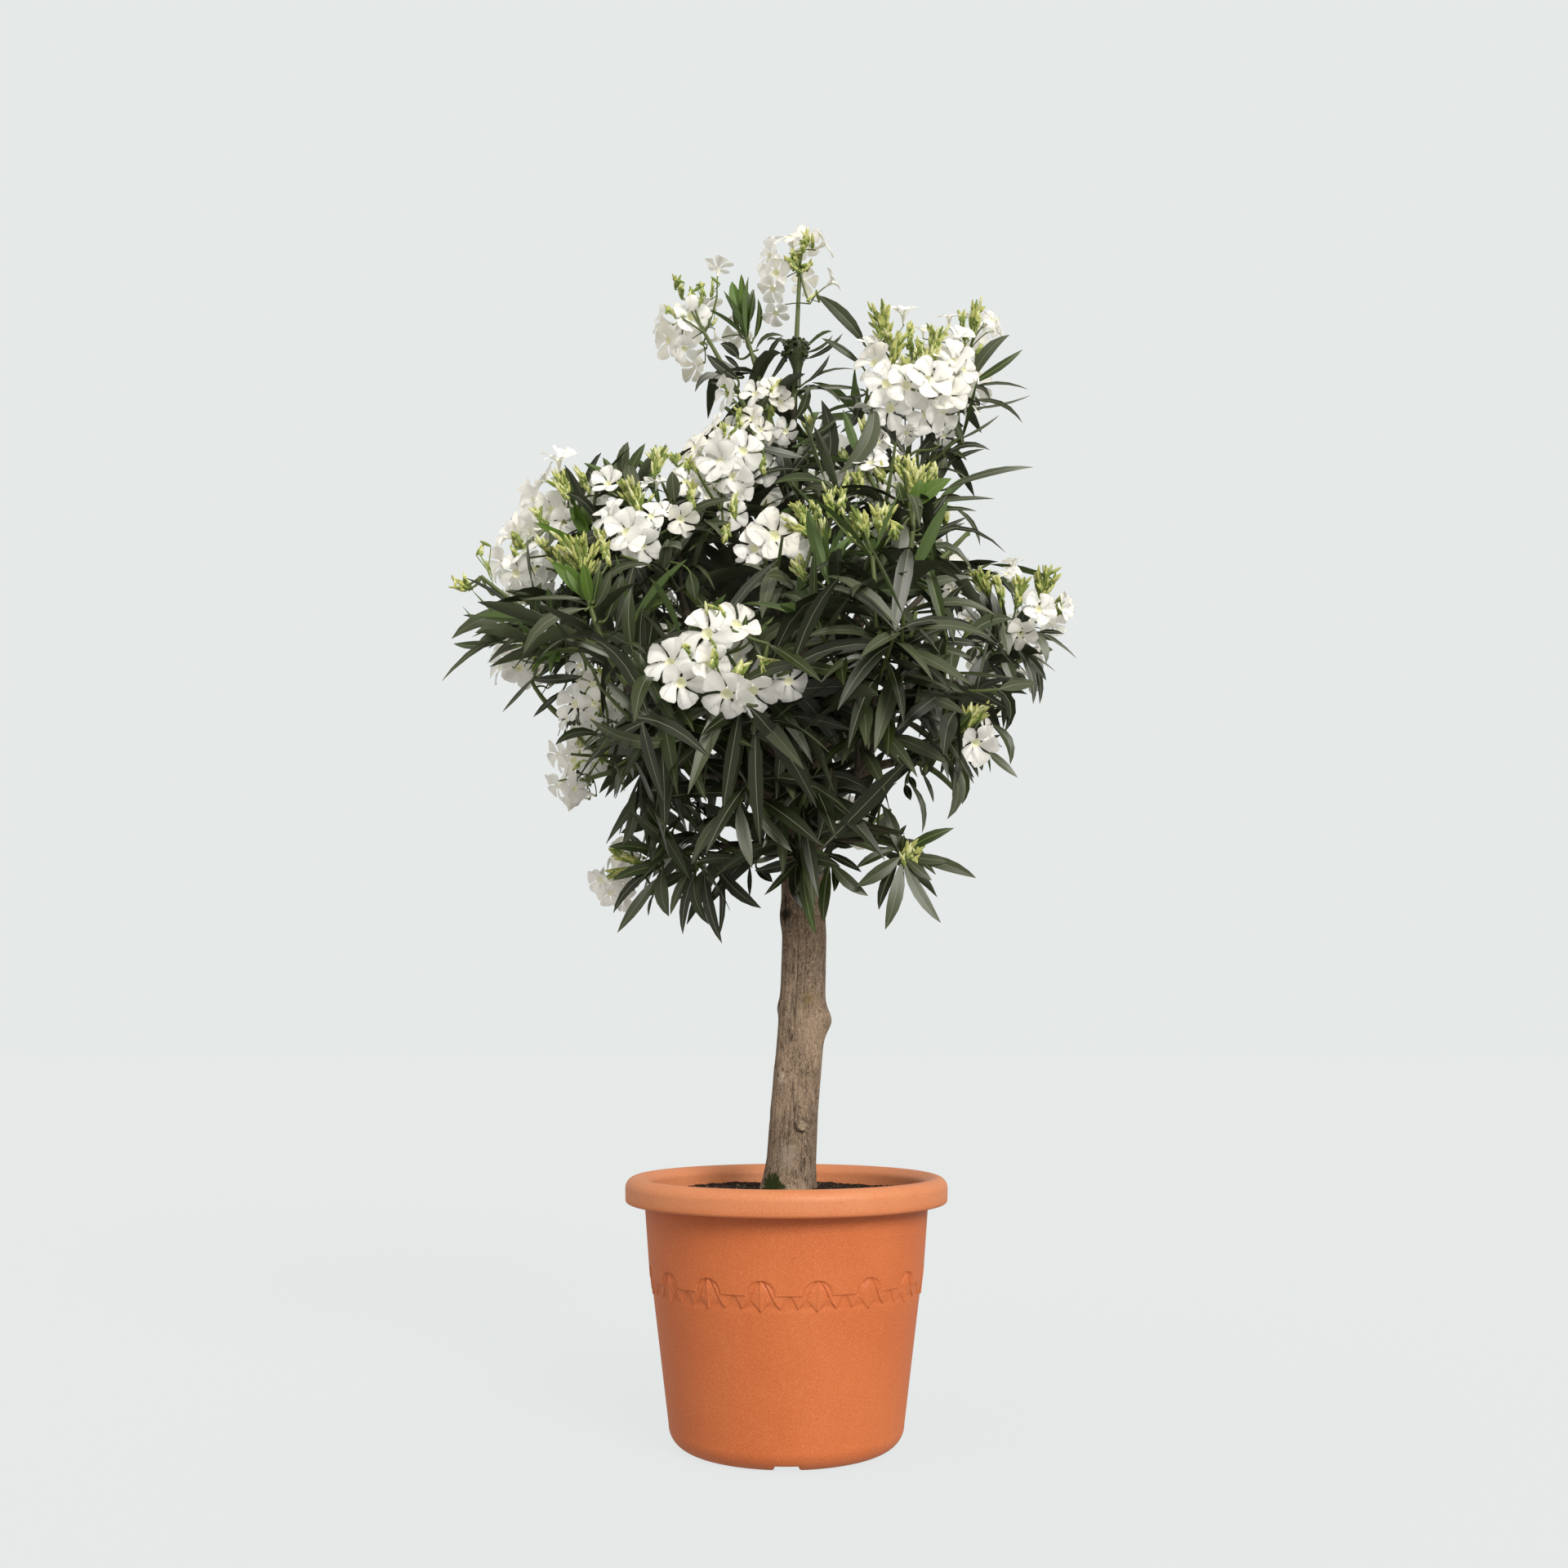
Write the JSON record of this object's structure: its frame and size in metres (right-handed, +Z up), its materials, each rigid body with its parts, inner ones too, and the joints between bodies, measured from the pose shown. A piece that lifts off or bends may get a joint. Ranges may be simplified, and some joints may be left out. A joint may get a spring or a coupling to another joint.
{
  "type": "potted oleander standard tree",
  "caption": "Flowering shrub grown as a small tree: bare single stem, rounded crown of narrow leaves and white blossom, in a round rimmed pot filled with soil.",
  "frame": {"origin": "middle of the pot's flat underside, on the ground", "axes": "+Z up along the stem, -Y towards the viewer's front, +X to the right seen from the front"},
  "size_m": [0.82, 0.7607, 1.5928],
  "materials": {
    "pot": "moulded terracotta-coloured plastic with a fine speckle",
    "soil": "dark loose potting soil",
    "bark": "dry grey-brown bark, fissured lengthwise",
    "foliage": "leathery dark green leaves, green shoots, pale buds and white petals"
  },
  "bodies": {
    "root": {"bough_back": "bark", "bough_back_left": "bark", "bough_back_right": "bark", "bough_back_top": "bark", "bough_centre_front": "bark", "bough_centre_left": "bark", "bough_column": "bark", "bough_front": "bark", "bough_front_left": "bark", "bough_leader": "bark", "bough_left": "bark", "bough_left_back": "bark", "bough_left_far": "bark", "bough_left_low": "bark", "bough_left_top": "bark", "bough_left_upper": "bark", "bough_right": "bark", "bough_right_back": "bark", "bough_right_front": "bark", "bough_right_low": "bark", "bough_right_out": "bark", "bough_right_upper": "bark", "crown_back": "foliage", "crown_back_left": "foliage", "crown_back_right": "foliage", "crown_back_top": "foliage", "crown_centre": "foliage", "crown_centre_front": "foliage", "crown_centre_left": "foliage", "crown_column": "foliage", "crown_front_left": "foliage", "crown_left": "foliage", "crown_left_back": "foliage", "crown_left_far": "foliage", "crown_left_low": "foliage", "crown_left_top": "foliage", "crown_left_upper": "foliage", "crown_low_back_left": "foliage", "crown_low_back_right": "foliage", "crown_low_front": "foliage", "crown_low_left": "foliage", "crown_low_right": "foliage", "crown_right_back": "foliage", "crown_right_front": "foliage", "crown_right_low": "foliage", "crown_right_out": "foliage", "crown_right_upper": "foliage", "crown_top": "foliage", "crown_top_right": "foliage", "pot": "pot", "soil": "soil", "trunk": "bark"}
  },
  "joints": []
}
